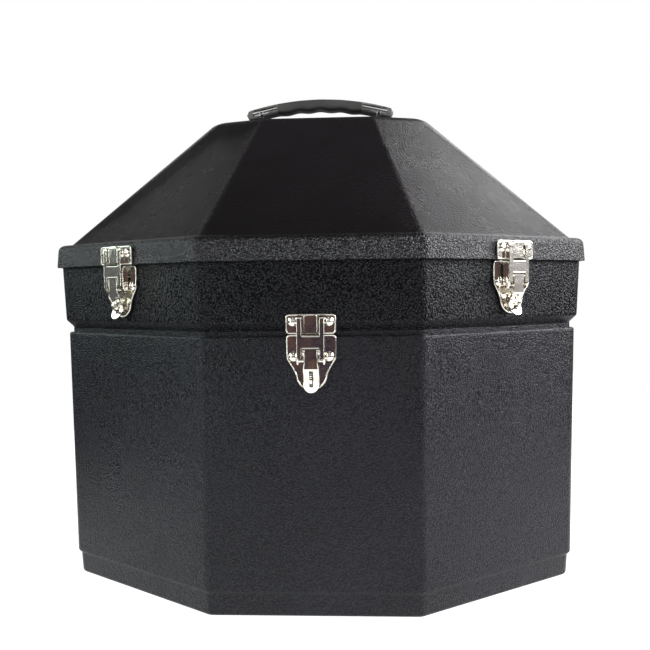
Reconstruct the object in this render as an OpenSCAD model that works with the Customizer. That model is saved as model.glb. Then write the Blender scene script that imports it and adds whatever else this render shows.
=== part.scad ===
// Octagonal hat box: a deep base tub, a shallow middle tray and a tall lid,
// joined by back hinges and draw latches, with a folding carry handle on top.
// Millimetres, +Z up, origin at the middle of the foot's underside, front towards -Y.

/* [Body] */
// Width across the side faces at the tub's rim
body_w = 473; // [440:1:520]
// Depth from the front face to the back face at the tub's rim
body_d = 384; // [370:1:430]
// Width of the flat front face at the tub's rim
front_w = 179; // [165:1:195]
// Depth taken by each diagonal face
cut_d = 91.6; // [85:1:98]
// Height of the stepped foot band
foot_h = 19.5; // [14:0.5:26]
// Height of the tub's rim
tub_h = 232.4; // [200:1:260]
// Sheet thickness of the tub
wall = 3; // [2.5:0.1:3.4]
// Radius of the vertical corners
corner_r = 10; // [6:1:14]

/* [Tray and lid] */
// Height from the tray's wall bottom to the lid's skirt
tray_h = 52; // [45:1:65]
// Height of the lid's skirt
skirt_h = 20.8; // [19:0.1:26]
// Height of the flat top above the floor
top_z = 443; // [420:1:470]
// Sheet thickness of the tray and the lid
lid_wall = 2.5; // [2:0.1:2.8]
// Half the width of the crown's front edge
crown_front = 53.5; // [48:0.5:60]
// Half the width of the crown
crown_side = 106; // [98:1:112]
// Distance from the front face to the crown's front edge
crown_in = 150; // [140:1:155]
// Radius of the edge round the crown
crown_r = 20; // [12:1:24]

/* [Latches] */
// Width of a latch
latch_w = 40.4; // [38:0.2:42]
// Height of a latch's base plate
plate_h = 44.6; // [42:0.2:46]
// Height of a strike plate
strike_h = 15.8; // [15:0.1:16]
// Thickness of the latch's sheet steel
steel = 1.2; // [1:0.1:1.3]
// Where the side latches sit along the diagonal faces, from the front corner
latch_along = 0.52; // [0.45:0.01:0.58]

/* [Handle] */
// Length of the grip
grip_l = 152; // [148:1:160]
// Width of the grip
grip_w = 20; // [17:1:21]
// Height of the handle's pivot above the crown
pivot_up = 10.5; // [10.3:0.1:12]

/* [Hidden] */
$fn = 48;

// clearances
gap = 0.1;          // between a plate and the plastic behind it
shank_gap = 0.05;   // round a rivet or pin in its hole
pin_gap = 0.06;     // round a pin that turns

// levels
neck_top = tub_h + 4.6;
tray_z = neck_top + gap;
tray_wall_z = tray_z + 8.4;
skirt_z = tray_z + 55.9 - 52 + tray_h;
ledge_z = skirt_z + skirt_h;
rim_z = ledge_z - lid_wall - 0.2;
crown_base_z = ledge_z + 1.6;

// outlines: half a width, the corner cut and its angle
half_w = body_w / 2;
half_d = body_d / 2;
half_f = front_w / 2;
diag = atan2(cut_d, half_w - half_f);
diag_l = norm([half_w - half_f, cut_d]);

// offsets from the rim's outline: positive is inwards
foot_in = 4.2;
wall_in = 1.8;
neck_in = 3.4;
boss_in = 8.2;
tray_out = -2.1;
tray_top_out = -3.9;
skirt_out = -8.3;
crown_base_in = 4.9;

// ---- rings and shells ----

// eight corners, counter-clockwise, from the front and side corners of one quarter
function eight(fx, fy, sx, sy) =
    [[fx, -fy], [sx, -sy], [sx, sy], [fx, fy], [-fx, fy], [-sx, sy], [-sx, -sy], [-fx, -fy]];

RIM = eight(half_f, half_d, half_w, half_d - cut_d);
CROWN = eight(crown_front, half_d - crown_in, crown_side, half_d - crown_in - 13);

function unit(v) = v / norm(v);

// a convex outline moved inwards by e
function inset(pts, e) = [for (i = [0:len(pts) - 1])
    let (n = len(pts), p = pts[i], a = unit(pts[(i + n - 1) % n] - p), b = unit(pts[(i + 1) % n] - p),
        half = acos(a * b) / 2)
    p + unit(a + b) * e / sin(half)];

// each corner of an outline replaced by an arc of radius r in n steps
function rounded(pts, r, n) = [for (i = [0:len(pts) - 1])
    let (m = len(pts), p = pts[i], a = unit(pts[(i + m - 1) % m] - p), b = unit(pts[(i + 1) % m] - p),
        half = acos(a * b) / 2, c = p + unit(a + b) * r / sin(half), s = p + a * r / tan(half) - c,
        turn = 180 - 2 * half, start = atan2(s[1], s[0]))
    for (k = [0:n]) c + r * [cos(start + turn * k / n), sin(start + turn * k / n)]];

function mix(a, b, t) = [for (i = [0:len(a) - 1]) a[i] * (1 - t) + b[i] * t];

// one ring of a shell: height, share of the way to the crown, offset inwards, corner radius
function ring(z, t, e, r) = [for (p = rounded(inset(mix(RIM, CROWN, t), e), r, 4)) [p[0], p[1], z]];

// a closed solid through the rings, with its first and last ring capped
module shell(rows) {
    rings = [for (q = rows) ring(q[0], q[1], q[2], q[3])];
    m = len(rings[0]);
    k = len(rings);
    sides = [for (i = [0:k - 2]) for (j = [0:m - 1]) let (u = (j + 1) % m)
        for (f = [[i * m + j, (i + 1) * m + u, i * m + u], [i * m + j, (i + 1) * m + j, (i + 1) * m + u]]) f];
    first = [for (j = [0:m - 1]) j];
    last = [for (j = [m - 1:-1:0]) (k - 1) * m + j];
    polyhedron([for (q = rings) for (p = q) p], concat([first], sides, [last]));
}

// ---- places of the hardware ----

// A latch's frame: x across, z up from the top of the base plate, y into the wall.
module front_place() {
    translate([0, -half_d, tub_h + 1.6]) children();
}

// side is -1 for the left diagonal face and 1 for the right one
module side_place(side) {
    out = 3.95;
    x = half_f + out * tan(diag / 2) + latch_along * diag_l * cos(diag);
    y = -half_d - out + latch_along * diag_l * sin(diag);
    translate([side * x, y, skirt_z - 0.6]) rotate([0, 0, side * diag]) children();
}

front_step = 2.3;   // how far the strike stands in front of the base plate's wall
side_step = 4.6;
strike_z = 0.7;     // bottom of the strike above the base plate
rivet_x = 14.4;
strike_rivet_z = 10.9;
plate_rivet_z = -17.5;
lever_pin_at = [5.4, -13.5];    // distance out from the wall, and height
link_pin_at = [5.8, -20.5];
lever_pin_r = 1.3;
link_pin_r = 1.2;
lever_half = 5.3;
cheek_in = 5.5;
arm_in = 6.9;
arm_out = 11.1;
face_out = 9.1;     // inner side of the link's front face

hinge_x = 56;
hinge_l = 42;
pin_r = 1.6;
knuckle_r = 3.2;
lower_axis = [half_d + 5.5, neck_top - 1];
upper_axis = [half_d + 12.2, skirt_z - 2];
hinge_rivets = [-14, 14];
lower_tub_rivet_z = lower_axis[1] - 19;
lower_tray_rivet_z = lower_axis[1] + 19;
upper_tray_rivet_z = upper_axis[1] - 14;
upper_lid_rivet_z = upper_axis[1] + 11.5;

bracket_x = 62;
fold_pin_r = 1.8;
rivet_r = 2;
head_r = 3.9;
head_h = 1.7;

// ---- small shapes ----

// a cylinder whose axis runs outwards (-Y) from y = a to y = b in a latch's frame
module across(r, a, b) {
    translate([0, b, 0]) rotate([90, 0, 0]) cylinder(r = r, h = b - a);
}

// a cylinder along X, centred
module along(r, l) {
    translate([-l / 2, 0, 0]) rotate([0, 90, 0]) cylinder(r = r, h = l);
}

// a domed head whose flat side is at z = 0
module dome(r, h) {
    ball = (r * r + h * h) / (2 * h);
    intersection() {
        translate([0, 0, h - ball]) sphere(r = ball);
        cylinder(r = r, h = h + 1);
    }
}

// a rivet through a wall: its head's seat at y = seat and its clenched tail from y = tail on
module rivet(seat, tail, tail_r = 3.2, tail_h = 1) {
    translate([0, seat, 0]) rotate([90, 0, 0]) dome(head_r, head_h);
    across(rivet_r - shank_gap, seat, tail + tail_h);
    across(tail_r, tail, tail + tail_h);
}

// a box by its low and high corners
module block(a, b) {
    translate(a) cube(b - a);
}

// a plate in the x-z plane, from y = -out - t to y = -out
module plate(out, t) {
    translate([0, -out, 0]) rotate([90, 0, 0]) linear_extrude(t) children();
}

// a side profile given as [out, z] points, extruded along x between a and b
module profile(a, b) {
    translate([a, 0, 0]) rotate([90, 0, 90]) linear_extrude(b - a) mirror([1, 0]) children();
}

// a rectangle with round corners, from [x0, y0] to [x1, y1]
module round_rect(x0, y0, x1, y1, r) {
    square_pts = [[x0 + r, y0], [x1 - r, y0], [x1, y0 + r], [x1, y1 - r],
        [x1 - r, y1], [x0 + r, y1], [x0, y1 - r], [x0, y0 + r]];
    polygon(square_pts);
    for (x = [x0 + r, x1 - r]) for (y = [y0 + r, y1 - r]) translate([x, y]) circle(r = r);
}

// the outline of a bent strip: a path of [out, z] points given thickness t on its outer side
function strip(pts, t) = concat(pts, [for (i = [len(pts) - 1:-1:0])
    let (a = pts[max(i - 1, 0)], b = pts[min(i + 1, len(pts) - 1)], d = unit(b - a)) pts[i] + [-d[1], d[0]] * t]);

// ---- moulded shells ----

module latch_holes(where) {
    if (where == "tub") {
        front_place() for (s = [-1, 1]) translate([s * rivet_x, 0, plate_rivet_z]) across(rivet_r, -9, 9);
    }
    if (where == "tray") {
        front_place() for (s = [-1, 1]) translate([s * rivet_x, 0, strike_rivet_z]) across(rivet_r, -9, 9);
        for (k = [-1, 1]) side_place(k)
            for (s = [-1, 1]) translate([s * rivet_x, 0, plate_rivet_z]) across(rivet_r, -9, 9);
    }
    if (where == "lid") {
        for (k = [-1, 1]) side_place(k)
            for (s = [-1, 1]) translate([s * rivet_x, 0, strike_rivet_z]) across(rivet_r, -9, 9);
    }
}

module hinge_holes(z) {
    for (s = [-1, 1]) for (x = hinge_rivets)
        translate([s * hinge_x + x, half_d + 14, z]) across(rivet_r, -28, 0);
}

module base_tub() {
    r = corner_r;
    color([0.06, 0.06, 0.065]) difference() {
        shell([[0, 0, foot_in + 4, r], [0.9, 0, foot_in + 1.8, r], [3, 0, foot_in + 0.8, r],
            [foot_h - 0.5, 0, foot_in, r], [foot_h + 0.7, 0, foot_in - 0.6, r],
            [foot_h + 2.3, 0, wall_in + 0.5, r], [foot_h + 3.6, 0, wall_in, r],
            [tub_h - 3, 0, 0, r], [tub_h - 0.9, 0, 0.2, r], [tub_h - 0.2, 0, 0.7, r],
            [tub_h, 0, 1.5, r], [tub_h, 0, neck_in, r], [neck_top - 0.4, 0, neck_in, r],
            [neck_top, 0, neck_in + 0.5, r], [neck_top, 0, neck_in + wall - 0.3, r],
            [tub_h - 3, 0, neck_in + wall, r - 3], [tub_h - 7, 0, wall, r - 3],
            [foot_h + 4, 0, wall_in + wall, r - 3], [foot_h - 0.5, 0, foot_in + wall, r - 3],
            [wall + 3, 0, foot_in + wall + 0.8, r - 3], [wall, 0, foot_in + wall + 4, r - 3]]);
        latch_holes("tub");
        hinge_holes(lower_tub_rivet_z);
    }
}

module middle_tray() {
    r = corner_r;
    t = lid_wall;
    boss_z = tray_z - 6;
    color([0.07, 0.07, 0.075]) difference() {
        shell([[boss_z, 0, boss_in + 2, r - 4], [boss_z + 0.8, 0, boss_in + 0.5, r - 4],
            [tray_z, 0, boss_in, r - 4], [tray_z, 0, neck_in, r], [tray_z + 1, 0, neck_in - 0.4, r],
            [tray_wall_z - 2, 0, tray_out + 0.4, r], [tray_wall_z, 0, tray_out - 0.1, r],
            [skirt_z + 1, 0, tray_top_out, r], [skirt_z + 4, 0, -3, r], [rim_z - 0.4, 0, -2.8, r],
            [rim_z, 0, -2.4, r], [rim_z, 0, -0.4, r - 2], [skirt_z + 3, 0, -0.5, r - 2],
            [skirt_z, 0, tray_top_out + t, r - 2], [tray_wall_z + 1, 0, tray_out + t, r - 2],
            [tray_wall_z - 1, 0, tray_out + t + 0.6, r - 3], [tray_z + t + 0.6, 0, neck_in + 2, r - 4],
            [tray_z + t, 0, neck_in + 3, r - 4], [tray_z + t, 0, boss_in + t - 0.3, r - 5],
            [boss_z + t + 0.8, 0, boss_in + t + 0.5, r - 5], [boss_z + t, 0, boss_in + t + 2, r - 5]]);
        latch_holes("tray");
        hinge_holes(lower_tray_rivet_z);
        hinge_holes(upper_tray_rivet_z);
    }
}

module lid() {
    r = corner_r;
    t = lid_wall;
    slope = 45;
    edge_z = top_z - crown_r * (1 - cos(slope));
    edge_t = (edge_z - crown_base_z) / (top_z - crown_base_z);
    steps = 4;
    inner_r = crown_r - t;
    inside = [for (k = [steps:-1:0]) let (a = slope * (1 - k / steps))
        [top_z - crown_r + inner_r * cos(a), edge_t, t + 0.3 + inner_r * (sin(slope) - sin(a)), r + 2]];
    outside = [for (k = [0:steps]) let (a = slope * (1 - k / steps))
        [top_z - crown_r + crown_r * cos(a), edge_t, crown_r * (sin(slope) - sin(a)), r + 4]];
    color([0.06, 0.055, 0.06]) difference() {
        shell(concat(inside,
            [[crown_base_z + 0.5, 0, crown_base_in + 3.2, r], [ledge_z - t, 0, crown_base_in + 1.6, r],
            [ledge_z - t, 0, skirt_out + 5, r], [skirt_z, 0, skirt_out + t, r],
            [skirt_z, 0, skirt_out + 0.5, r + 2], [skirt_z + 0.6, 0, skirt_out, r + 2],
            [ledge_z - 5.8, 0, skirt_out + 1.2, r + 2], [ledge_z - 2.6, 0, skirt_out + 2.2, r + 2],
            [ledge_z - 0.7, 0, skirt_out + 4.1, r + 2], [ledge_z, 0, skirt_out + 6.8, r + 2],
            [ledge_z + 0.2, 0, crown_base_in - 2, r + 2], [crown_base_z, 0, crown_base_in, r + 2]],
            outside));
        latch_holes("lid");
        hinge_holes(upper_lid_rivet_z);
        for (s = [-1, 1]) for (y = [-1, 1])
            translate([s * bracket_x, y * 13, top_z - 10]) cylinder(r = rivet_r, h = 20);
    }
}

// ---- one draw latch, in its own frame ----

// the strike: an eared plate whose middle tongue is bent up and out from its lower edge
module strike_plate(step) {
    half = latch_w / 2;
    top = strike_z + strike_h;
    back = step + gap;
    tongue = 5.8;
    color([0.78, 0.76, 0.7]) difference() {
        union() {
            plate(back, steel) round_rect(-half, strike_z, half, top, 3);
            profile(-tongue, tongue) polygon([[back, strike_z], [back + 3.2, strike_z],
                [back + 4.2, strike_z + 1], [back + 4.2, top - 1.6], [back + 4.2 - steel, top - 1.6],
                [back + 4.2 - steel, strike_z + steel + 0.4], [back + 3, strike_z + steel], [back, strike_z + steel]]);
            intersection() {
                profile(-tongue, tongue) polygon([[back + 4.2, top - 1.6], [back + 4.2 - steel, top - 1.6],
                    [back + 3, top + 0.8], [back + 4, top + 0.8]]);
                plate(0, 20) round_rect(-tongue, strike_z, tongue, top, 3.4);
            }
        }
        for (s = [-1, 1]) translate([s * rivet_x, 0, strike_rivet_z]) across(rivet_r, -12, 0);
    }
}

// the base plate: a shield with two cheeks that carry the lever's pin
module latch_plate() {
    half = latch_w / 2;
    low = 12.8;
    color([0.78, 0.76, 0.7]) difference() {
        union() {
            plate(gap, steel) {
                round_rect(-half, plate_rivet_z - 2, half, 0, 3.4);
                polygon([[-half, plate_rivet_z], [half, plate_rivet_z], [16.4, -24.6], [14, -29],
                    [low, low - plate_h], [-low, low - plate_h], [-14, -29], [-16.4, -24.6]]);
                translate([0, low - plate_h]) circle(r = low);
            }
            for (s = [0, 1]) mirror([s, 0, 0]) profile(cheek_in, cheek_in + steel - 0.1) {
                polygon([[gap, -18.5], [gap, -8.5], [lever_pin_at[0], -10.3], [lever_pin_at[0], -16.7]]);
                translate(lever_pin_at) circle(r = 3.2);
            }
        }
        for (s = [-1, 1]) translate([s * rivet_x, 0, plate_rivet_z]) across(rivet_r, -12, 0);
        translate([0, -lever_pin_at[0], lever_pin_at[1]]) along(lever_pin_r + pin_gap, 20);
    }
}

// the lever: a bent strip with two flanges round the pins, and a slot for the staple
module lever() {
    path = [[8.6, -11.4], [8.7, -19], [8.5, -26.4], [2.6, -35.6], [3.4, -38], [8.4, -46.4]];
    color([0.8, 0.78, 0.73]) difference() {
        union() {
            intersection() {
                profile(-7, 7) polygon(strip(path, 1.4));
                plate(0, 20) {
                    polygon([[-lever_half, -11.4], [lever_half, -11.4], [lever_half, -20], [6.3, -27.4],
                        [6.3, -39.4], [-6.3, -39.4], [-6.3, -27.4], [-lever_half, -20]]);
                    translate([0, -39.4]) circle(r = 6.3);
                }
            }
            for (s = [0, 1]) mirror([s, 0, 0]) profile(lever_half - 1.1, lever_half) {
                polygon([[8.6, -12], [4, -11], [3.4, -14], [3.6, -22.4], [7, -23.4], [9, -22]]);
                translate(lever_pin_at) circle(r = 2.9);
                translate(link_pin_at) circle(r = 2.7);
            }
        }
        block([-1.6, -14, -41.6], [1.6, 4, -28.6]);
        translate([0, -lever_pin_at[0], lever_pin_at[1]]) along(lever_pin_r + pin_gap, 20);
        translate([0, -link_pin_at[0], link_pin_at[1]]) along(link_pin_r + pin_gap, 20);
    }
}

// the link: two arms beside the strike's tongue, joined by a front face under it
module link() {
    top = strike_z + strike_h - 1.6;
    front = face_out + steel;
    color([0.8, 0.78, 0.73]) difference() {
        union() {
            for (s = [0, 1]) mirror([s, 0, 0]) {
                profile(arm_out - steel, arm_out) {
                    polygon([[6.4, 0], [6.4, top - 2], [front - 2, top], [front, top - 2], [front, -19],
                        [8, -23.4], [4.4, -23.4], [3, -19], [3, -6]]);
                    translate([8.3, top - 2]) circle(r = 2);
                }
                block([arm_in, -front, -18.5], [arm_out, -face_out, top - 2]);
                profile(arm_in, arm_out) intersection() {
                    difference() {
                        translate([front - 3.4, top - 3]) circle(r = 3.4);
                        translate([front - 3.4, top - 3]) circle(r = 3.4 - steel);
                    }
                    translate([6.4, top - 3]) square([6, 6]);
                }
            }
            block([-arm_out, -front, -10.4], [arm_out, -face_out, -0.6]);
        }
        translate([0, -link_pin_at[0], link_pin_at[1]]) along(link_pin_r + shank_gap, 40);
    }
}

module lever_pin() {
    color([0.7, 0.68, 0.64]) translate([0, -lever_pin_at[0], lever_pin_at[1]]) along(lever_pin_r, 2 * arm_in - 0.3);
}

module link_pin() {
    color([0.7, 0.68, 0.64]) translate([0, -link_pin_at[0], link_pin_at[1]]) along(link_pin_r, 2 * arm_out + 0.8);
}

// the padlock staple: a flat eye on edge, standing on the base plate
module padlock_staple() {
    eye_z = -35;
    eye_out = 6;
    foot = gap + steel;
    color([0.75, 0.73, 0.68]) intersection() {
        profile(-0.95, 0.95) difference() {
            union() {
                translate([eye_out, eye_z]) circle(r = 5);
                translate([foot, eye_z - 3]) square([3, 6]);
            }
            translate([eye_out, eye_z]) circle(r = 3);
        }
        block([-2, -20, -60], [2, -foot, 0]);
    }
}

module front_strike_plate() { front_place() strike_plate(front_step); }
module front_latch_plate() { front_place() latch_plate(); }
module front_lever() { front_place() lever(); }
module front_link() { front_place() link(); }
module front_lever_pin() { front_place() lever_pin(); }
module front_link_pin() { front_place() link_pin(); }
module front_padlock_staple() { front_place() padlock_staple(); }
module left_strike_plate() { side_place(-1) strike_plate(side_step); }
module left_latch_plate() { side_place(-1) latch_plate(); }
module left_lever() { side_place(-1) lever(); }
module left_link() { side_place(-1) link(); }
module left_lever_pin() { side_place(-1) lever_pin(); }
module left_link_pin() { side_place(-1) link_pin(); }
module left_padlock_staple() { side_place(-1) padlock_staple(); }
module right_strike_plate() { side_place(1) strike_plate(side_step); }
module right_latch_plate() { side_place(1) latch_plate(); }
module right_lever() { side_place(1) lever(); }
module right_link() { side_place(1) link(); }
module right_lever_pin() { side_place(1) lever_pin(); }
module right_link_pin() { side_place(1) link_pin(); }
module right_padlock_staple() { side_place(1) padlock_staple(); }

// ---- rivets that hold the latches ----

module plate_rivets(tail) {
    for (s = [-1, 1]) translate([s * rivet_x, 0, plate_rivet_z]) rivet(-gap - steel, tail);
}

module strike_rivets(step, tail, tail_r, tail_h) {
    for (s = [-1, 1]) translate([s * rivet_x, 0, strike_rivet_z])
        rivet(-gap - steel - step, tail, tail_r, tail_h);
}

module tub_latch_rivets() {
    color([0.75, 0.74, 0.7]) front_place() plate_rivets(wall + 0.5);
}

module tray_latch_rivets() {
    color([0.75, 0.74, 0.7]) {
        front_place() strike_rivets(front_step, 3.5, 2.6, 1);
        for (k = [-1, 1]) side_place(k) plate_rivets(lid_wall + 0.9);
    }
}

module lid_latch_rivets() {
    color([0.75, 0.74, 0.7]) for (k = [-1, 1]) side_place(k) strike_rivets(side_step, 0.1, 3.2, 0.5);
}

// ---- back hinges ----

// A leaf in the frame of its pin: its web and plate to side sz (1 up, -1 down), its knuckles at xs.
module leaf(out, sz, near, far, rivet_z, xs) {
    rivet_at = rivet_z * sz;
    for (s = [-1, 1]) translate([s * hinge_x, 0, 0]) difference() {
        union() {
            block([-hinge_l / 2, out, min(sz * near, sz * far)], [hinge_l / 2, out + steel, max(sz * near, sz * far)]);
            for (x = xs) {
                translate([x[0], 0, 0]) rotate([90, 0, 90]) linear_extrude(x[1] - x[0]) {
                    circle(r = knuckle_r);
                    polygon([[out, sz * (near + 1.5)], [out + steel, sz * (near + 1.5)],
                        [0, sz * knuckle_r], [-knuckle_r, 0], [out, sz * near]]);
                }
            }
        }
        along(pin_r + pin_gap, 80);
        for (x = hinge_rivets) translate([x, out + 14, rivet_at]) across(rivet_r, -28, 0);
    }
}

outer_knuckles = [[-hinge_l / 2, -7.2], [7.2, hinge_l / 2]];
middle_knuckle = [[-6.8, 6.8]];

module at_lower() { translate([0, lower_axis[0], lower_axis[1]]) children(); }
module at_upper() { translate([0, upper_axis[0], upper_axis[1]]) children(); }

lower_tub_out = -lower_axis[0] + half_d + gap;
lower_tray_out = -lower_axis[0] + half_d - tray_out + 0.9;
upper_tray_out = -upper_axis[0] + half_d - tray_top_out + gap;
upper_lid_out = -upper_axis[0] + half_d - skirt_out + gap;

module lower_hinge_tub_leaves() {
    color([0.72, 0.71, 0.68]) at_lower() leaf(lower_tub_out, -1, 5, 27, 19, outer_knuckles);
}
module lower_hinge_tray_leaves() {
    color([0.72, 0.71, 0.68]) at_lower() leaf(lower_tray_out, 1, 8.5, 25, 19, middle_knuckle);
}
module lower_hinge_pins() {
    color([0.7, 0.69, 0.66]) at_lower() for (s = [-1, 1]) translate([s * hinge_x, 0, 0]) along(pin_r, hinge_l + 1);
}
module upper_hinge_tray_leaves() {
    color([0.72, 0.71, 0.68]) at_upper() leaf(upper_tray_out, -1, 6.5, 20, 14, outer_knuckles);
}
module upper_hinge_lid_leaves() {
    color([0.72, 0.71, 0.68]) at_upper() leaf(upper_lid_out, 1, 3.4, 16.8, 11.5, middle_knuckle);
}
module upper_hinge_pins() {
    color([0.7, 0.69, 0.66]) at_upper() for (s = [-1, 1]) translate([s * hinge_x, 0, 0]) along(pin_r, hinge_l + 1);
}

// rivets through a leaf into the back wall: the leaf's outer face and the tail, both as y
module back_rivets(face, tail, z, tail_h = 1) {
    for (s = [-1, 1]) for (x = hinge_rivets) translate([s * hinge_x + x, face, z]) rotate([0, 0, 180])
        rivet(0, face - tail, 3.2, tail_h);
}

module tub_hinge_rivets() {
    color([0.75, 0.74, 0.7])
        back_rivets(lower_axis[0] + lower_tub_out + steel, half_d - wall - 0.5, lower_tub_rivet_z);
}
module tray_hinge_rivets() {
    color([0.75, 0.74, 0.7]) {
        back_rivets(lower_axis[0] + lower_tray_out + steel, half_d - 0.8, lower_tray_rivet_z);
        back_rivets(upper_axis[0] + upper_tray_out + steel, half_d + 0.6, upper_tray_rivet_z);
    }
}
module lid_hinge_rivets() {
    color([0.75, 0.74, 0.7])
        back_rivets(upper_axis[0] + upper_lid_out + steel, half_d + 3.9, upper_lid_rivet_z, 0.5);
}

// ---- carry handle ----

pivot_z = top_z + pivot_up;
arch_rise = 9.4;
arch_half = grip_l / 2 - 6;
arch_r = (arch_half * arch_half + arch_rise * arch_rise) / (2 * arch_rise);
wave = 22.5;

// height of the grip's top above the pivot at x, and of its waved underside
function arch_top(x) = arch_rise - arch_r + sqrt(arch_r * arch_r - x * x) + 6.7;
function arch_low(x) = arch_top(x) - 10.5 - (abs(x) < 2 * wave ? 1.3 * (1 - cos(360 * x / wave)) / 2 : 0);

module grip_outline() {
    n = 48;
    ends = arch_half + 2;
    xs = [for (i = [0:n]) -ends + 2 * ends * i / n];
    polygon(concat([for (x = xs) [x, arch_low(x)]], [for (i = [n:-1:0]) [xs[i], arch_top(xs[i])]]));
    for (s = [-1, 1]) translate([s * ends, 0.2]) circle(r = 5.2);
}

window = [45, 71];  // from and to, along the grip

module handle_grip() {
    color([0.12, 0.12, 0.12]) translate([0, 0, pivot_z]) difference() {
        translate([0, grip_w / 2, 0]) rotate([90, 0, 0]) linear_extrude(grip_w) grip_outline();
        // the windows at the ends, with the core strap in them
        for (s = [0, 1]) mirror([s, 0, 0]) translate([0, 15, 0]) rotate([90, 0, 0]) linear_extrude(30)
            polygon([[window[0], arch_top(window[0]) - 7.6], [window[0], arch_top(window[0]) - 2.8],
                [window[1], arch_top(window[1]) - 2.8], [window[1], arch_top(window[1]) - 7.6]]);
        // the ends are cut round, to turn above the crown, and notched for the brackets
        for (s = [0, 1]) mirror([s, 0, 0]) {
            difference() {
                block([bracket_x - 7, -20, -20], [100, 20, 5]);
                translate([80, 0, 0]) along(9, 60);
            }
            block([bracket_x - 2.2, -20, -12], [bracket_x + 2.2, 20, 3.9]);
            translate([bracket_x + 5.5, 0, 0]) along(fold_pin_r + pin_gap, 15.4);
        }
    }
}

// the spring steel strap inside the grip, seen in the end windows
module handle_core_strap() {
    color([0.6, 0.6, 0.6]) translate([0, 0, pivot_z])
        for (s = [0, 1]) mirror([s, 0, 0]) translate([0, 7, 0]) rotate([90, 0, 0]) linear_extrude(14)
            polygon([[window[0], arch_top(window[0]) - 4.4], [window[0], arch_top(window[0]) - 3.2],
                [window[1], arch_top(window[1]) - 3.2], [window[1], arch_top(window[1]) - 4.4]]);
}

module handle_pivot_pins() {
    color([0.7, 0.7, 0.68]) translate([0, 0, pivot_z])
        for (s = [-1, 1]) translate([s * (bracket_x + 5.5), 0, 0]) along(fold_pin_r, 15);
}

// each bracket: a foot riveted across the crown and an ear that carries the pin
module handle_brackets() {
    color([0.72, 0.71, 0.68]) for (s = [-1, 1]) translate([s * bracket_x, 0, 0]) difference() {
        union() {
            translate([0, 0, top_z + gap]) linear_extrude(steel) round_rect(-6, -18, 6, 18, 3);
            translate([-1, 0, 0]) rotate([90, 0, 90]) linear_extrude(2) {
                translate([0, pivot_z]) circle(r = 3.4);
                polygon([[-6, top_z + gap], [6, top_z + gap], [3.4, pivot_z], [-3.4, pivot_z]]);
            }
        }
        translate([0, 0, pivot_z]) along(fold_pin_r + pin_gap, 8);
        for (y = [-1, 1]) translate([0, y * 13, top_z - 5]) cylinder(r = rivet_r, h = 15);
    }
}

module handle_bracket_rivets() {
    low = top_z - lid_wall - gap - steel;
    color([0.75, 0.74, 0.7]) for (s = [-1, 1]) for (y = [-1, 1]) translate([s * bracket_x, y * 13, 0]) {
        translate([0, 0, top_z + gap + steel]) dome(3.4, 1.4);
        translate([0, 0, low - 1]) cylinder(r = rivet_r - shank_gap, h = top_z + gap + steel - low + 1);
        translate([0, 0, low - 1]) cylinder(r = 3, h = 1);
    }
}

module handle_backing_plates() {
    color([0.7, 0.7, 0.68]) for (s = [-1, 1]) difference() {
        translate([s * bracket_x, 0, top_z - lid_wall - gap - steel]) linear_extrude(steel)
            round_rect(-7, -18, 7, 18, 2);
        for (y = [-1, 1]) translate([s * bracket_x, y * 13, top_z - 10]) cylinder(r = rivet_r, h = 20);
    }
}

base_tub();
middle_tray();
lid();
front_strike_plate();
front_latch_plate();
front_lever();
front_link();
front_lever_pin();
front_link_pin();
front_padlock_staple();
left_strike_plate();
left_latch_plate();
left_lever();
left_link();
left_lever_pin();
left_link_pin();
left_padlock_staple();
right_strike_plate();
right_latch_plate();
right_lever();
right_link();
right_lever_pin();
right_link_pin();
right_padlock_staple();
tub_latch_rivets();
tray_latch_rivets();
lid_latch_rivets();
lower_hinge_tub_leaves();
lower_hinge_tray_leaves();
lower_hinge_pins();
upper_hinge_tray_leaves();
upper_hinge_lid_leaves();
upper_hinge_pins();
tub_hinge_rivets();
tray_hinge_rivets();
lid_hinge_rivets();
handle_grip();
handle_core_strap();
handle_pivot_pins();
handle_brackets();
handle_bracket_rivets();
handle_backing_plates();
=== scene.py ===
"""Looks of the octagonal hat box: grained plastic shells, plated latches and hinges, and the carry handle."""
import math

import bmesh
import bpy
from mathutils import Matrix, Vector

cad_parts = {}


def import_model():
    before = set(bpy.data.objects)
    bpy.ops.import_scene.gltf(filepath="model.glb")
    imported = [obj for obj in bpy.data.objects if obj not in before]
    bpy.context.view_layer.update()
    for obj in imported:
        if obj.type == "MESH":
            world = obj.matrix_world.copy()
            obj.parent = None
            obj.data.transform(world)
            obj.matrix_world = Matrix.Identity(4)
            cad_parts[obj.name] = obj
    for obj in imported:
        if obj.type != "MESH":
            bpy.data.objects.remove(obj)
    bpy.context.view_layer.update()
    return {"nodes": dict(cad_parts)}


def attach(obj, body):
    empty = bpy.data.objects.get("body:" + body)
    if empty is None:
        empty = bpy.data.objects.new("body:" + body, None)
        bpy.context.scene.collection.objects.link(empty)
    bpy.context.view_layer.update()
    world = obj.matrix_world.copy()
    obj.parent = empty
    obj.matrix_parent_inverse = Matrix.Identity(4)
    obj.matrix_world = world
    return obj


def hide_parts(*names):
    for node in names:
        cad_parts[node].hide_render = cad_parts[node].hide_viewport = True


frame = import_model()
MM = 0.001

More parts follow.
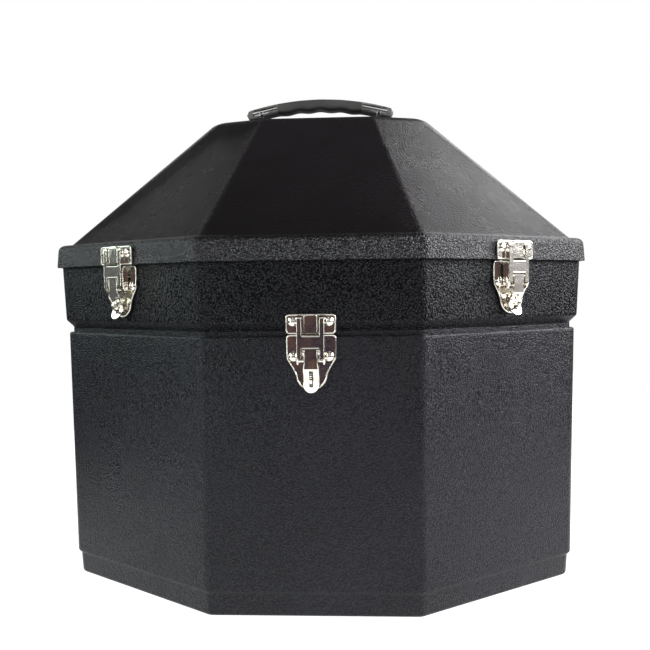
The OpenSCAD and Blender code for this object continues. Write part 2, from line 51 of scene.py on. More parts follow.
# ---------------------------------------------------------------- dimensions, in millimetres
# These repeat the driving dimensions of the CAD part, for the shells that are remade with finer edges.
BODY_W, BODY_D, FRONT_W, CUT_D = 473.0, 384.0, 179.0, 91.6
FOOT_H, TUB_H, WALL, CORNER_R = 19.5, 232.4, 3.0, 10.0
SKIRT_H, TOP_Z, LID_WALL = 20.8, 443.0, 2.5
CROWN_FRONT, CROWN_SIDE, CROWN_IN, CROWN_R = 53.5, 106.0, 150.0, 20.0
GRIP_L, GRIP_W, PIVOT_UP = 152.0, 20.0, 10.5
WINDOW = (45.0, 71.0)       # the grip's end windows, from its middle

GAP = 0.1
NECK_TOP = TUB_H + 4.6
TRAY_Z = NECK_TOP + GAP
TRAY_WALL_Z = TRAY_Z + 8.4
SKIRT_Z = TRAY_Z + 55.9
LEDGE_Z = SKIRT_Z + SKIRT_H
RIM_Z = LEDGE_Z - LID_WALL - 0.2
CROWN_BASE_Z = LEDGE_Z + 1.6
PIVOT_Z = TOP_Z + PIVOT_UP

FOOT_IN, WALL_IN, NECK_IN, BOSS_IN = 4.2, 1.8, 3.4, 8.2
TRAY_OUT, TRAY_TOP_OUT, SKIRT_OUT, CROWN_BASE_IN = -2.1, -3.9, -8.3, 4.9
ARC_STEPS = 10


# ---------------------------------------------------------------- outlines and shells
def eight(fx, fy, sx, sy):
    """Eight corners, counter-clockwise, from the front and side corners of one quarter."""
    quarter = [(fx, -fy), (sx, -sy), (sx, sy), (fx, fy), (-fx, fy), (-sx, sy), (-sx, -sy), (-fx, -fy)]
    return [Vector(p) for p in quarter]


RIM = eight(FRONT_W / 2, BODY_D / 2, BODY_W / 2, BODY_D / 2 - CUT_D)
CROWN = eight(CROWN_FRONT, BODY_D / 2 - CROWN_IN, CROWN_SIDE, BODY_D / 2 - CROWN_IN - 13)


def corner(points, i):
    """The unit vectors from corner i to its neighbours, and half the angle between them."""
    p = points[i]
    a = (points[i - 1] - p).normalized()
    b = (points[(i + 1) % len(points)] - p).normalized()
    return p, a, b, a.angle(b) / 2


def inset(points, e):
    """The outline moved inwards by e."""
    moved = []
    for i in range(len(points)):
        p, a, b, half = corner(points, i)
        moved.append(p + (a + b).normalized() * e / math.sin(half))
    return moved


def rounded(points, r):
    """The outline with an arc of radius r at each corner."""
    arcs = []
    for i in range(len(points)):
        p, a, b, half = corner(points, i)
        centre = p + (a + b).normalized() * r / math.sin(half)
        start = p + a * r / math.tan(half) - centre
        angle = math.atan2(start.y, start.x)
        turn = math.pi - 2 * half
        for k in range(ARC_STEPS + 1):
            now = angle + turn * k / ARC_STEPS
            arcs.append(centre + r * Vector((math.cos(now), math.sin(now))))
    return arcs


def ring(z, t, e, r):
    """One ring of a shell: height, share of the way to the crown, offset inwards, corner radius."""
    mixed = [a.lerp(b, t) for a, b in zip(RIM, CROWN)]
    return [Vector((p.x, p.y, z)) * MM for p in rounded(inset(mixed, e), r)]


def finish_mesh(name, bm, body, node, sharp_angle=38):
    """Makes the object of a bmesh, smooth but for its sharp edges, riding on a body in place of a node."""
    bmesh.ops.recalc_face_normals(bm, faces=bm.faces[:])
    for face in bm.faces:
        face.smooth = True
    for edge in bm.edges:
        if len(edge.link_faces) == 2:
            edge.smooth = edge.calc_face_angle(0) < math.radians(sharp_angle)
    mesh = bpy.data.meshes.new(name)
    bm.to_mesh(mesh)
    bm.free()
    obj = bpy.data.objects.new(name, mesh)
    bpy.context.scene.collection.objects.link(obj)
    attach(obj, body)
    if node:
        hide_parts(node)
    return obj


def even_normals(obj):
    """Keeps flat faces flat beside their rounded edges."""
    modifier = obj.modifiers.new("even_normals", "WEIGHTED_NORMAL")
    modifier.keep_sharp = True
    modifier.weight = 100


def cut(obj, cutter_bm):
    """Applies a boolean difference with the solids in a bmesh."""
    mesh = bpy.data.meshes.new("cutter")
    cutter_bm.to_mesh(mesh)
    cutter_bm.free()
    cutter = bpy.data.objects.new("cutter", mesh)
    bpy.context.scene.collection.objects.link(cutter)
    modifier = obj.modifiers.new("cut", "BOOLEAN")
    modifier.operation = "DIFFERENCE"
    modifier.solver = "EXACT"
    modifier.object = cutter
    bpy.context.view_layer.objects.active = obj
    bpy.ops.object.modifier_apply(modifier=modifier.name)
    bpy.data.objects.remove(cutter)


def shell(name, node, body, rows):
    """A closed solid through the rings, with its first and last ring capped."""
    bm = bmesh.new()
    rings = [[bm.verts.new(p) for p in ring(*row)] for row in rows]
    count = len(rings[0])
    for low, high in zip(rings, rings[1:]):
        for j in range(count):
            u = (j + 1) % count
            bm.faces.new((low[j], low[u], high[u], high[j]))
    bm.faces.new(rings[0][::-1])
    bm.faces.new(rings[-1])
    obj = finish_mesh(name, bm, body, node)
    even_normals(obj)
    return obj


def tub_rows():
    r, inner = CORNER_R, CORNER_R - 3
    return [
        (0, 0, FOOT_IN + 4, r), (0.3, 0, FOOT_IN + 2.8, r), (0.9, 0, FOOT_IN + 1.8, r),
        (1.8, 0, FOOT_IN + 1.1, r), (3, 0, FOOT_IN + 0.8, r),
        (FOOT_H - 0.5, 0, FOOT_IN, r), (FOOT_H + 0.1, 0, FOOT_IN - 0.2, r),
        (FOOT_H + 0.7, 0, FOOT_IN - 0.6, r), (FOOT_H + 2.3, 0, WALL_IN + 0.5, r),
        (FOOT_H + 2.9, 0, WALL_IN + 0.12, r), (FOOT_H + 3.6, 0, WALL_IN, r),
        (TUB_H - 3, 0, 0, r), (TUB_H - 1.6, 0, 0.05, r), (TUB_H - 0.9, 0, 0.2, r), (TUB_H - 0.2, 0, 0.7, r),
        (TUB_H, 0, 1.5, r), (TUB_H, 0, NECK_IN, r), (NECK_TOP - 0.4, 0, NECK_IN, r),
        (NECK_TOP, 0, NECK_IN + 0.5, r), (NECK_TOP, 0, NECK_IN + WALL - 0.3, r),
        (TUB_H - 3, 0, NECK_IN + WALL, inner), (TUB_H - 7, 0, WALL, inner),
        (FOOT_H + 4, 0, WALL_IN + WALL, inner), (FOOT_H - 0.5, 0, FOOT_IN + WALL, inner),
        (WALL + 3, 0, FOOT_IN + WALL + 0.8, inner), (WALL + 0.9, 0, FOOT_IN + WALL + 1.8, inner),
        (WALL, 0, FOOT_IN + WALL + 4, inner)]


def tray_rows():
    r, t = CORNER_R, LID_WALL
    boss = TRAY_Z - 6
    return [
        (boss, 0, BOSS_IN + 2, r - 4), (boss + 0.8, 0, BOSS_IN + 0.5, r - 4), (TRAY_Z, 0, BOSS_IN, r - 4),
        (TRAY_Z, 0, NECK_IN, r), (TRAY_Z + 0.4, 0, NECK_IN - 0.1, r), (TRAY_Z + 1, 0, NECK_IN - 0.4, r),
        (TRAY_WALL_Z - 2.6, 0, TRAY_OUT + 0.9, r), (TRAY_WALL_Z - 1.6, 0, TRAY_OUT + 0.2, r),
        (TRAY_WALL_Z, 0, TRAY_OUT - 0.1, r), (SKIRT_Z + 1, 0, TRAY_TOP_OUT, r), (SKIRT_Z + 4, 0, -3, r),
        (RIM_Z - 0.4, 0, -2.8, r), (RIM_Z, 0, -2.4, r), (RIM_Z, 0, -0.4, r - 2),
        (SKIRT_Z + 3, 0, -0.5, r - 2),
        (SKIRT_Z, 0, TRAY_TOP_OUT + t, r - 2), (TRAY_WALL_Z + 1, 0, TRAY_OUT + t, r - 2),
        (TRAY_WALL_Z - 1, 0, TRAY_OUT + t + 0.6, r - 3), (TRAY_Z + t + 0.6, 0, NECK_IN + 2, r - 4),
        (TRAY_Z + t, 0, NECK_IN + 3, r - 4), (TRAY_Z + t, 0, BOSS_IN + t - 0.3, r - 5),
        (boss + t + 0.8, 0, BOSS_IN + t + 0.5, r - 5), (boss + t, 0, BOSS_IN + t + 2, r - 5)]


def lid_rows():
    r, t = CORNER_R, LID_WALL
    slope = math.radians(45)
    edge_z = TOP_Z - CROWN_R * (1 - math.cos(slope))
    share = (edge_z - CROWN_BASE_Z) / (TOP_Z - CROWN_BASE_Z)
    steps = 10

    def edge(radius, start, corner_r):
        rows = []
        for k in range(steps + 1):
            a = slope * (1 - k / steps)
            travel = radius * (math.sin(slope) - math.sin(a))
            rows.append((TOP_Z - CROWN_R + radius * math.cos(a), share, start + travel, corner_r))
        return rows

    inside = edge(CROWN_R - t, t + 0.3, r + 2)[::-1]
    outside = edge(CROWN_R, 0, r + 4)
    skirt_r = r + 2
    top_edge = [(LEDGE_Z - 6 * (1 - math.sin(a)), 0, SKIRT_OUT + 1.1 + 6 * (1 - math.cos(a)), skirt_r)
                for a in [math.radians(15 * k) for k in range(7)]]
    return inside + [
        (CROWN_BASE_Z + 0.5, 0, CROWN_BASE_IN + 3.2, r), (LEDGE_Z - t, 0, CROWN_BASE_IN + 1.6, r),
        (LEDGE_Z - t, 0, SKIRT_OUT + 5, r), (SKIRT_Z, 0, SKIRT_OUT + t, r),
        (SKIRT_Z, 0, SKIRT_OUT + 0.6, skirt_r),
        (SKIRT_Z + 0.2, 0, SKIRT_OUT + 0.2, skirt_r), (SKIRT_Z + 0.7, 0, SKIRT_OUT, skirt_r)] + top_edge + [
        (LEDGE_Z + 0.1, 0, CROWN_BASE_IN - 2.6, skirt_r), (LEDGE_Z + 0.5, 0, CROWN_BASE_IN - 0.9, skirt_r),
        (CROWN_BASE_Z, 0, CROWN_BASE_IN, skirt_r)] + outside


# ---------------------------------------------------------------- materials
def new_material(name):
    """A material with its node tree, its Principled shader and its object coordinates."""
    material = bpy.data.materials.new(name)
    material.use_nodes = True
    tree = material.node_tree
    shader = tree.nodes["Principled BSDF"]
    where = tree.nodes.new("ShaderNodeTexCoord").outputs["Object"]
    return material, tree, shader, where


def noise(tree, where, scale, detail=2.0, roughness=0.5):
    node = tree.nodes.new("ShaderNodeTexNoise")
    node.inputs["Scale"].default_value = scale
    node.inputs["Detail"].default_value = detail
    node.inputs["Roughness"].default_value = roughness
    tree.links.new(where, node.inputs["Vector"])
    return node.outputs["Fac"]


def ramp(tree, fac, low, high, start=0.35, end=0.65):
    """Maps a factor to a range of values or colours."""
    node = tree.nodes.new("ShaderNodeValToRGB")
    for element, at, value in zip(node.color_ramp.elements, (start, end), (low, high)):
        element.position = at
        element.color = (*value, 1) if isinstance(value, tuple) else (value, value, value, 1)
    tree.links.new(fac, node.inputs["Fac"])
    return node.outputs["Color"]


def bump(tree, height, strength, distance, normal=None):
    node = tree.nodes.new("ShaderNodeBump")
    node.inputs["Strength"].default_value = strength
    node.inputs["Distance"].default_value = distance
    tree.links.new(height, node.inputs["Height"])
    if normal:
        tree.links.new(normal, node.inputs["Normal"])
    return node.outputs["Normal"]


def grained_plastic(name, colour, warm, roughness, depth, cell, glint, soft_above=None, soft=1.0):
    """Vacuum-formed sheet with a moulded pebble grain; cell is the size of a pebble in metres.

    glint is how much the crevices and the tops of the pebbles reflect.
    Above the height soft_above the grain has been drawn out, and keeps only the share soft of its depth."""
    material, tree, shader, where = new_material(name)
    warp = tree.nodes.new("ShaderNodeVectorMath")
    warp.operation = "MULTIPLY_ADD"
    shift = tree.nodes.new("ShaderNodeTexNoise")
    shift.inputs["Scale"].default_value = 0.6 / cell
    tree.links.new(where, shift.inputs["Vector"])
    tree.links.new(shift.outputs["Color"], warp.inputs[0])
    warp.inputs[1].default_value = (cell * 0.7,) * 3
    tree.links.new(where, warp.inputs[2])
    cells = tree.nodes.new("ShaderNodeTexVoronoi")
    cells.feature = "SMOOTH_F1"
    cells.inputs["Scale"].default_value = 1 / cell
    cells.inputs["Smoothness"].default_value = 0.6
    tree.links.new(warp.outputs[0], cells.inputs["Vector"])
    pebbles = ramp(tree, cells.outputs["Distance"], 1.0, 0.0, 0.15, 0.75)
    fine = noise(tree, where, 2.2 / cell, 3)
    wave = noise(tree, where, 14, 1)
    normal = bump(tree, wave, 0.12, 0.004)
    normal = bump(tree, fine, 0.3, depth * 0.5, normal)
    if soft_above:
        split = tree.nodes.new("ShaderNodeSeparateXYZ")
        tree.links.new(where, split.inputs[0])
        stretch = tree.nodes.new("ShaderNodeMapRange")
        stretch.inputs["From Min"].default_value = soft_above - 0.004
        stretch.inputs["From Max"].default_value = soft_above
        stretch.inputs["To Min"].default_value = 1.0
        stretch.inputs["To Max"].default_value = soft
        tree.links.new(split.outputs["Z"], stretch.inputs["Value"])
        scaled = tree.nodes.new("ShaderNodeMath")
        scaled.operation = "MULTIPLY"
        tree.links.new(pebbles, scaled.inputs[0])
        tree.links.new(stretch.outputs["Result"], scaled.inputs[1])
        pebbles = scaled.outputs[0]
    normal = bump(tree, pebbles, 1.0, depth, normal)
    tree.links.new(normal, shader.inputs["Normal"])
    tree.links.new(ramp(tree, noise(tree, where, 9, 3), colour, warm, 0.4, 0.6), shader.inputs["Base Color"])
    worn = ramp(tree, noise(tree, where, 26, 4), roughness - 0.05, roughness + 0.06)
    tree.links.new(worn, shader.inputs["Roughness"])
    tree.links.new(ramp(tree, pebbles, *glint, 0.3, 1.0), shader.inputs["Specular IOR Level"])
    shader.inputs["Specular Tint"].default_value = (0.93, 0.93, 1.0, 1)
    return material


def plated(name, colour, roughness):
    """Bright nickel plate with faint polishing marks, a few scuffs and slightly uneven colour."""
    material, tree, shader, where = new_material(name)
    shader.inputs["Metallic"].default_value = 1
    tint = tuple(c * 0.9 for c in colour)
    tree.links.new(ramp(tree, noise(tree, where, 160, 3), tint, colour), shader.inputs["Base Color"])
    stretch = tree.nodes.new("ShaderNodeMapping")
    stretch.inputs["Scale"].default_value = (1, 1, 12)
    tree.links.new(where, stretch.inputs["Vector"])
    marks = noise(tree, stretch.outputs["Vector"], 380, 4)
    tree.links.new(ramp(tree, marks, roughness - 0.03, roughness + 0.1), shader.inputs["Roughness"])
    normal = bump(tree, noise(tree, where, 90, 1), 0.45, 0.0005)
    tree.links.new(bump(tree, marks, 0.1, 0.00005, normal), shader.inputs["Normal"])
    return material


def satin_plastic(name, colour, worn, ends, roughness):
    """The grip's moulded plastic: satin, with faint flow marks and handling wear, and paler end frames."""
    material, tree, shader, where = new_material(name)
    split = tree.nodes.new("ShaderNodeSeparateXYZ")
    tree.links.new(where, split.inputs[0])
    size = tree.nodes.new("ShaderNodeMath")
    size.operation = "ABSOLUTE"
    tree.links.new(split.outputs["X"], size.inputs[0])
    along = tree.nodes.new("ShaderNodeMapRange")
    along.inputs["From Min"].default_value = (WINDOW[0] - 1.5) * MM
    along.inputs["From Max"].default_value = (WINDOW[0] - 0.5) * MM
    tree.links.new(size.outputs[0], along.inputs["Value"])
    mix = tree.nodes.new("ShaderNodeMix")
    mix.data_type = "RGBA"
    tree.links.new(along.outputs["Result"], mix.inputs[0])
    tree.links.new(ramp(tree, noise(tree, where, 60, 4), colour, worn), mix.inputs[6])
    mix.inputs[7].default_value = (*ends, 1)
    tree.links.new(mix.outputs[2], shader.inputs["Base Color"])
    rubbed = ramp(tree, noise(tree, where, 90, 4), roughness - 0.06, roughness + 0.1)
    tree.links.new(rubbed, shader.inputs["Roughness"])
    normal = bump(tree, noise(tree, where, 2600, 2), 0.25, 0.0001)
    tree.links.new(bump(tree, noise(tree, where, 60, 1), 0.2, 0.001, normal), shader.inputs["Normal"])
    return material


TUB_PLASTIC = grained_plastic(
    "tub_plastic", colour=(0.007, 0.007, 0.009), warm=(0.009, 0.009, 0.012),
    roughness=0.3, depth=0.0003, cell=0.0013, glint=(0.2, 0.46))
TRAY_PLASTIC = grained_plastic(
    "tray_plastic", colour=(0.003, 0.003, 0.004), warm=(0.005, 0.005, 0.006),
    roughness=0.25, depth=0.0004, cell=0.0014, glint=(0.08, 0.45))
LID_PLASTIC = grained_plastic(
    "lid_plastic", colour=(0.004, 0.003, 0.003), warm=(0.006, 0.004, 0.005),
    roughness=0.27, depth=0.0006, cell=0.0014, glint=(0.32, 1.1), soft_above=LEDGE_Z * MM, soft=0.35)
NICKEL = plated("nickel_plate", (0.9, 0.87, 0.8), 0.07)
HINGE_STEEL = plated("hinge_plate", (0.7, 0.69, 0.66), 0.2)
SPRING = plated("spring_strip", (0.8, 0.8, 0.8), 0.16)
BLACKENED = plated("blackened_steel", (0.06, 0.06, 0.06), 0.3)
GRIP = satin_plastic("grip_plastic", (0.05, 0.05, 0.05), (0.07, 0.07, 0.068), (0.15, 0.145, 0.14), 0.42)


def clothe(obj, material):
    """Puts one material on every face of a piece."""
    obj.data.materials.clear()
    obj.data.materials.append(material)


# ---------------------------------------------------------------- shells
tub = shell("tub_shell", "base_tub", "tub_body", tub_rows())
tray = shell("tray_shell", "middle_tray", "tray_body", tray_rows())
lid = shell("lid_shell", "lid", "lid_body", lid_rows())
clothe(tub, TUB_PLASTIC)
clothe(tray, TRAY_PLASTIC)
clothe(lid, LID_PLASTIC)


# ---------------------------------------------------------------- handle
ARCH_RISE = 9.4
ARCH_HALF = GRIP_L / 2 - 6
ARCH_R = (ARCH_HALF ** 2 + ARCH_RISE ** 2) / (2 * ARCH_RISE)
WAVE = 22.5
BRACKET_X = 62.0
FOLD_R = 8.7        # the ends of the grip keep within this of the pivot, to turn above the brackets' feet
TRIM_TOP = 5.6      # ... below this height above the pivot
ARCH_LIFT, GRIP_H, WAVE_DEPTH = 6.7, 10.5, 1.3
NOTCH_HALF, NOTCH_TOP, NOTCH_LOW = 2.2, 3.9, -14.0
WINDOW_Z = (-7.6, -2.8, -2.8, -7.6)     # its corners, below the grip's upper line


def arch_top(x):
    """Height of the grip's upper line above the pivot."""
    return ARCH_RISE - ARCH_R + math.sqrt(ARCH_R ** 2 - x * x) + ARCH_LIFT


def arch_low(x):
    """Height of its lower line, with waves between the fingers."""
    wave = WAVE_DEPTH * (1 - math.cos(2 * math.pi * x / WAVE)) / 2 if abs(x) < 2 * WAVE else 0
    return arch_top(x) - GRIP_H - wave


def grip_blank():
    """The grip without its windows: an arched bar with rounded ends and a rounded section."""
    bm = bmesh.new()
    ends, end_l = ARCH_HALF + 2, 5.2
    stations = 72
    around = 20
    rows = []
    for i in range(stations + 1):
        share = i / stations
        x = (ends + end_l) * (2 * share - 1)
        inner = max(-ends, min(ends, x))
        over = abs(x - inner) / end_l
        squeeze = math.sqrt(max(0.0, 1 - over * over))
        top, low = arch_top(inner), arch_low(inner)
        mid, half = (top + low) / 2, max((top - low) / 2 * squeeze, 0.15)
        wide = GRIP_W / 2 * (0.55 + 0.45 * squeeze)
        row = []
        for k in range(around):
            a = 2 * math.pi * k / around
            c, s = math.cos(a), math.sin(a)
            y = wide * math.copysign(abs(c) ** 0.45, c)
            z = mid + half * math.copysign(abs(s) ** 0.55, s)
            if abs(x) > BRACKET_X - 8 and z < TRIM_TOP:
                clear = math.sqrt(max(0.0, FOLD_R ** 2 - z * z))
                y = max(-clear, min(clear, y))
            row.append(bm.verts.new(Vector((x, y, PIVOT_Z + z)) * MM))
        rows.append(row)
    for a, b in zip(rows, rows[1:]):
        for k in range(around):
            u = (k + 1) % around
            bm.faces.new((a[k], b[k], b[u], a[u]))
    bm.faces.new(rows[0])
    bm.faces.new(rows[-1][::-1])
    return finish_mesh("grip_shell", bm, "handle_body", "handle_grip", 50)


def prism(bm, outline, y0, y1):
    """A solid with an x-z outline between two y planes."""
    near, far = ([bm.verts.new(Vector((x, y, z)) * MM) for x, z in outline] for y in (y0, y1))
    count = len(outline)
    for k in range(count):
        u = (k + 1) % count
        bm.faces.new((near[k], near[u], far[u], far[k]))
    bm.faces.new(near[::-1])
    bm.faces.new(far)


def grip_cutter(part):
    """The end windows, or the notches for the brackets."""
    bm = bmesh.new()
    for s in (-1, 1):
        if part == "windows":
            corners = [(x, arch_top(x) + z) for x, z in zip(sorted(WINDOW * 2), WINDOW_Z)]
        else:
            x0, x1 = BRACKET_X - NOTCH_HALF, BRACKET_X + NOTCH_HALF
            corners = [(x0, NOTCH_LOW), (x0, NOTCH_TOP), (x1, NOTCH_TOP), (x1, NOTCH_LOW)]
        prism(bm, [(s * x, PIVOT_Z + z) for x, z in corners], -GRIP_W, GRIP_W)
    bmesh.ops.recalc_face_normals(bm, faces=bm.faces[:])
    return bm


grip = grip_blank()
cut(grip, grip_cutter("windows"))
cut(grip, grip_cutter("notches"))
for polygon in grip.data.polygons:
    polygon.use_smooth = True
grip.data.set_sharp_from_angle(angle=math.radians(50))
even_normals(grip)
clothe(grip, GRIP)


# ---------------------------------------------------------------- plated hardware
PIN_EDGE, SHEET_EDGE = 0.00015, 0.0005


def soften(obj, width):
    """Rolls the sharp edges of a carried-over part, as stamping and plating leave them."""
    modifier = obj.modifiers.new("edges", "BEVEL")
    modifier.width = width
    modifier.segments = 3
    modifier.limit_method = "ANGLE"
    modifier.angle_limit = math.radians(40)
    even_normals(obj)


def metal_of(name):
    """The finish of a metal part, by its name."""
    if name == "handle_core_strap":
        return SPRING
    if "bracket" in name:
        return BLACKENED
    if any(word in name for word in ("hinge", "backing", "pivot")):
        return HINGE_STEEL
    return NICKEL


REMADE = ("base_tub", "middle_tray", "lid", "handle_grip")
for name, obj in frame["nodes"].items():
    if name in REMADE:
        continue
    clothe(obj, metal_of(name))
    soften(obj, PIN_EDGE if "rivet" in name or "pin" in name else SHEET_EDGE)


# ---------------------------------------------------------------- rolled rims of the latches
DIAG = math.atan2(CUT_D, (BODY_W - FRONT_W) / 2)
DIAG_L = math.hypot((BODY_W - FRONT_W) / 2, CUT_D)
LATCH_W, PLATE_H, STRIKE_Z, STRIKE_H, STEEL = 40.4, 44.6, 0.7, 15.8, 1.2
LATCH_ALONG = 0.52      # place of a side latch along its diagonal face, from the front
SIDE_PLATE_OUT = 3.95   # its base plate's distance outside the tub's rim


def latch_frame(place):
    """Places a latch, in millimetres: x across, y into the wall, z up from the top of the base plate."""
    if place == "front":
        return Matrix.Translation(Vector((0, -BODY_D / 2, TUB_H + 1.6)))
    side = 1 if place == "right" else -1
    out = SIDE_PLATE_OUT
    x = FRONT_W / 2 + out * math.tan(DIAG / 2) + LATCH_ALONG * DIAG_L * math.cos(DIAG)
    y = -BODY_D / 2 - out + LATCH_ALONG * DIAG_L * math.sin(DIAG)
    return Matrix.Translation(Vector((side * x, y, SKIRT_Z - 0.6))) @ Matrix.Rotation(side * DIAG, 4, "Z")


def arc(x, z, r, start, end, steps=6):
    """Points of an arc in a latch's plane, with its angles in degrees."""
    angles = [math.radians(start + (end - start) * k / steps) for k in range(steps + 1)]
    return [(x + r * math.cos(a), z + r * math.sin(a)) for a in angles]


def bead(bm, matrix, points, radius, closed):
    """A round wire along points given as (x, out, z) in a latch's frame."""
    around = 8
    path = [matrix @ Vector((x, -out, z)) for x, out, z in points]
    outwards = (matrix.to_3x3() @ Vector((0, -1, 0))).normalized()
    count = len(path)
    rows = []
    for i, p in enumerate(path):
        before = path[i - 1] if closed or i else path[0]
        after = path[(i + 1) % count] if closed or i < count - 1 else path[-1]
        along = (after - before).normalized()
        side = along.cross(outwards).normalized()
        up = side.cross(along)
        turns = [2 * math.pi * k / around for k in range(around)]
        circle = [p + radius * (math.cos(a) * side + math.sin(a) * up) for a in turns]
        rows.append([bm.verts.new(q * MM) for q in circle])
    pairs = list(zip(rows, rows[1:])) + ([(rows[-1], rows[0])] if closed else [])
    for a, b in pairs:
        for k in range(around):
            u = (k + 1) % around
            bm.faces.new((a[k], a[u], b[u], b[k]))
    if not closed:
        bm.faces.new(rows[0])
        bm.faces.new(rows[-1][::-1])


def strike_rim(matrix, step):
    """The border of the strike plate, and the edge of the raised tongue that the link hooks over."""
    bm = bmesh.new()
    half, r = LATCH_W / 2 - 0.6, 2.6
    low, top = STRIKE_Z + 0.6, STRIKE_Z + STRIKE_H - 0.6
    loop = (arc(half - r, low + r, r, -90, 0) + arc(half - r, top - r, r, 0, 90)
            + arc(-half + r, top - r, r, 90, 180) + arc(-half + r, low + r, r, 180, 270))
    bead(bm, matrix, [(x, step + STEEL, z) for x, z in loop], 0.6, True)
    tongue = 5.2
    hook = [(-tongue, step + 4.1, STRIKE_Z + 1.4), (-tongue, step + 4.2, top - 2.6)]
    arch = [(x, step + 4.2, z) for x, z in arc(-tongue + 2.4, top - 2.2, 2.4, 180, 90, 4)
            + arc(tongue - 2.4, top - 2.2, 2.4, 90, 0, 4)]
    back = [(-x, out, z) for x, out, z in hook[::-1]]
    bead(bm, matrix, hook + arch + back, 0.42, False)
    return bm


def plate_rim(matrix):
    """The border of the base plate, which narrows to a round foot under the lever's tip."""
    bm = bmesh.new()
    half, low = LATCH_W / 2 - 0.6, 12.2
    loop = (arc(half - 2.8, -3.4, 2.8, 0, 90) + arc(-half + 2.8, -3.4, 2.8, 90, 180)
            + [(-half, -17.6), (-half + 0.6, -19.6), (-15.9, -24.6), (-13.6, -28.6)]
            + arc(0, 12.8 - PLATE_H, low, 180, 360, 14)
            + [(13.6, -28.6), (15.9, -24.6), (half - 0.6, -19.6), (half, -17.6)])
    bead(bm, matrix, [(x, STEEL, z) for x, z in loop[::-1]], 0.6, True)
    return bm


def link_rim(matrix):
    """The outer and inner edges of the link's arms, and the lower edge of its face."""
    bm = bmesh.new()
    out, top = 10.1, STRIKE_Z + STRIKE_H - 3.6
    for s in (-1, 1):
        bead(bm, matrix, [(s * 10.7, out, top), (s * 10.7, out, -18.6)], 0.45, False)
        bead(bm, matrix, [(s * 7.3, out, top), (s * 7.3, out, -0.9)], 0.4, False)
        bead(bm, matrix, [(s * 7.3, out, -10.8), (s * 7.3, out, -18.2)], 0.4, False)
    bead(bm, matrix, [(-6.9, out, -1.0), (6.9, out, -1.0)], 0.4, False)
    bead(bm, matrix, [(-6.9, out, -10.1), (6.9, out, -10.1)], 0.4, False)
    return bm


def lever_rim(matrix):
    """The two long edges of the lever and its rounded tip."""
    bm = bmesh.new()
    down = [(4.9, 9.9, -11.9), (4.9, 9.9, -20), (5.9, 9.7, -27.2), (5.9, 4.2, -35.8), (5.9, 4.7, -38.6)]
    tip = [(x, 4.9 + (-38.9 - z) * 0.6, z) for x, z in arc(0, -39.4, 5.9, 0, -180, 12)]
    other = [(-x, out, z) for x, out, z in down[::-1]]
    bead(bm, matrix, down + tip[1:-1] + other, 0.42, False)
    return bm


FRONT_STEP, SIDE_STEP = 2.3, 4.6        # how far the strike's back stands outside the base plate's
LATCHES = (("front", "tub_body", "tray_body", FRONT_STEP),
           ("left", "tray_body", "lid_body", SIDE_STEP),
           ("right", "tray_body", "lid_body", SIDE_STEP))
for place, base, upper, step in LATCHES:
    matrix = latch_frame(place)
    rims = (("strike", strike_rim(matrix, step), upper),
            ("plate", plate_rim(matrix), base),
            ("link", link_rim(matrix), f"{place}_link_body"),
            ("lever", lever_rim(matrix), f"{place}_lever_body"))
    for part, bm, body in rims:
        clothe(finish_mesh(f"{place}_{part}_rim", bm, body, None, 60), NICKEL)


# ---------------------------------------------------------------- studio
def floor():
    """A white table top that glows a little, so it stays white; its edges show in the box's glossy sides."""
    bm = bmesh.new()
    left, right, near, far = -0.52, 0.72, -0.76, 1.5
    outline = ((left, near), (right, near), (right, far), (left, far))
    bm.faces.new([bm.verts.new((x, y, 0)) for x, y in outline])
    mesh = bpy.data.meshes.new("floor")
    bm.to_mesh(mesh)
    bm.free()
    obj = bpy.data.objects.new("floor", mesh)
    bpy.context.scene.collection.objects.link(obj)
    material, _, shader, _ = new_material("pale_floor")
    shader.inputs["Base Color"].default_value = (0.4, 0.4, 0.4, 1)
    shader.inputs["Roughness"].default_value = 0.8
    shader.inputs["Emission Color"].default_value = (1, 1, 1, 1)
    shader.inputs["Emission Strength"].default_value = 0.96
    obj.data.materials.append(material)


def panel(name, azimuth, elevation, distance, size, radiance, colour=(1, 1, 1)):
    """A soft light facing the box; azimuth is measured from the front, positive to the right."""
    a, e = math.radians(azimuth), math.radians(elevation)
    towards = Vector((math.sin(a) * math.cos(e), -math.cos(a) * math.cos(e), math.sin(e)))
    data = bpy.data.lights.new(name, "AREA")
    data.shape = "RECTANGLE"
    data.size, data.size_y = size
    data.energy = radiance * math.pi * size[0] * size[1]
    data.color = colour
    obj = bpy.data.objects.new(name, data)
    obj.location = towards * distance + Vector((0, 0, 0.25))
    obj.rotation_euler = towards.to_track_quat("Z", "Y").to_euler()
    bpy.context.scene.collection.objects.link(obj)


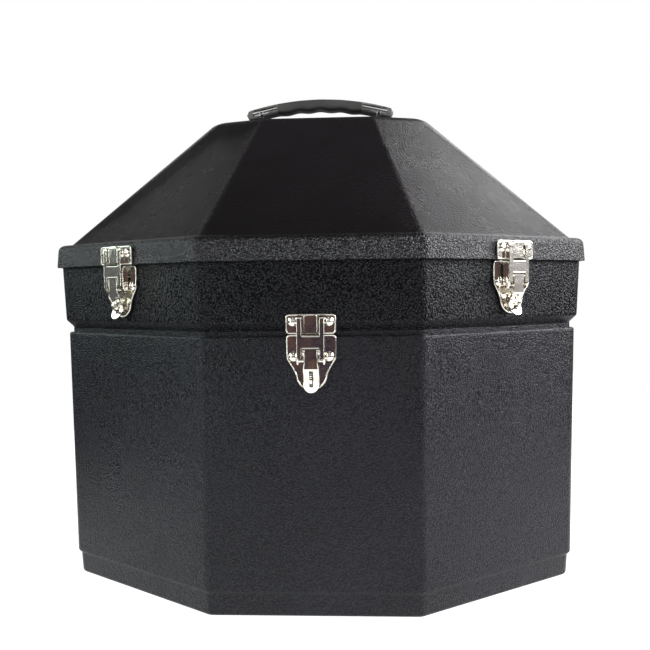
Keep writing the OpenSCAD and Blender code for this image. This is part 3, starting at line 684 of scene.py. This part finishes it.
def world():
    """A room that is dim and warm on the camera's side, with a white backdrop behind the object."""
    data = bpy.data.worlds.new("studio")
    bpy.context.scene.world = data
    data.use_nodes = True
    tree = data.node_tree
    back = tree.nodes["Background"]
    seen = tree.nodes.new("ShaderNodeLightPath")
    mix = tree.nodes.new("ShaderNodeMix")
    mix.data_type = "RGBA"
    factor, dim, bright, result = mix.inputs[0], mix.inputs[6], mix.inputs[7], mix.outputs[2]
    split = tree.nodes.new("ShaderNodeSeparateXYZ")
    coords = tree.nodes.new("ShaderNodeTexCoord").outputs["Generated"]
    tree.links.new(coords, split.inputs[0])
    rising = tree.nodes.new("ShaderNodeMapRange")
    rising.inputs["From Min"].default_value = -1
    tree.links.new(split.outputs["Y"], rising.inputs["Value"])
    clutter = ramp(tree, noise(tree, coords, 11, 3), (0.014, 0.02, 0.045), (0.14, 0.075, 0.055), 0.36, 0.64)
    room = tree.nodes.new("ShaderNodeMix")
    room.data_type = "RGBA"
    tree.links.new(ramp(tree, rising.outputs["Result"], 0.0, 1.0, 0.15, 0.5), room.inputs[0])
    tree.links.new(clutter, room.inputs[6])
    room.inputs[7].default_value = (0.12, 0.12, 0.125, 1)
    tree.links.new(room.outputs[2], dim)
    bright.default_value = (1, 1, 1, 1)
    tree.links.new(seen.outputs["Is Camera Ray"], factor)
    tree.links.new(result, back.inputs["Color"])


CAMERA_X, CAMERA_AWAY, CAMERA_Z = 0.036, 0.546, 0.2694


def camera():
    """Stands a little right of the front latch, 0.55 m off, and looks slightly left and down."""
    yaw, pitch, roll = (math.radians(a) for a in (-2.60, -2.93, -0.70))
    forward = Vector((math.sin(yaw) * math.cos(pitch), math.cos(yaw) * math.cos(pitch), math.sin(pitch)))
    right = Vector((math.cos(yaw), -math.sin(yaw), 0))
    up = right.cross(forward)
    across = math.cos(roll) * right + math.sin(roll) * up
    upward = -math.sin(roll) * right + math.cos(roll) * up
    data = bpy.data.cameras.new("camera")
    data.sensor_width = 36
    data.lens = 38.0
    data.clip_start = 0.01
    obj = bpy.data.objects.new("camera", data)
    place = Vector((CAMERA_X, -BODY_D / 2 * MM - CAMERA_AWAY, CAMERA_Z))
    axes = Matrix((across, upward, -forward)).transposed().to_4x4()
    obj.matrix_world = Matrix.Translation(place) @ axes
    bpy.context.scene.collection.objects.link(obj)
    bpy.context.scene.camera = obj


floor()
world()
camera()
panel("window_right", 82, 25, 1.8, (1.5, 1.2), 10.0)
panel("wall_right", 80, -2, 2.0, (1.8, 0.7), 0.3)
panel("window_back", 138, 40, 1.9, (0.9, 0.8), 3.6)
panel("window_left", -86, 22, 1.8, (1.2, 1.0), 3.4, (0.86, 1.0, 0.94))
panel("back_left", -146, 34, 1.9, (0.7, 0.6), 0.9)
panel("wall_front", -4, 16, 2.3, (2.0, 0.65), 0.9)
panel("strip_left", -42, 12, 1.6, (0.2, 1.2), 12.0, (0.86, 1.0, 0.93))
panel("strip_right", 36, 14, 1.6, (0.16, 1.1), 7.0)
panel("ceiling_front", -3, 47, 1.9, (0.5, 0.4), 1.7)
bpy.context.scene.view_settings.view_transform = "Standard"
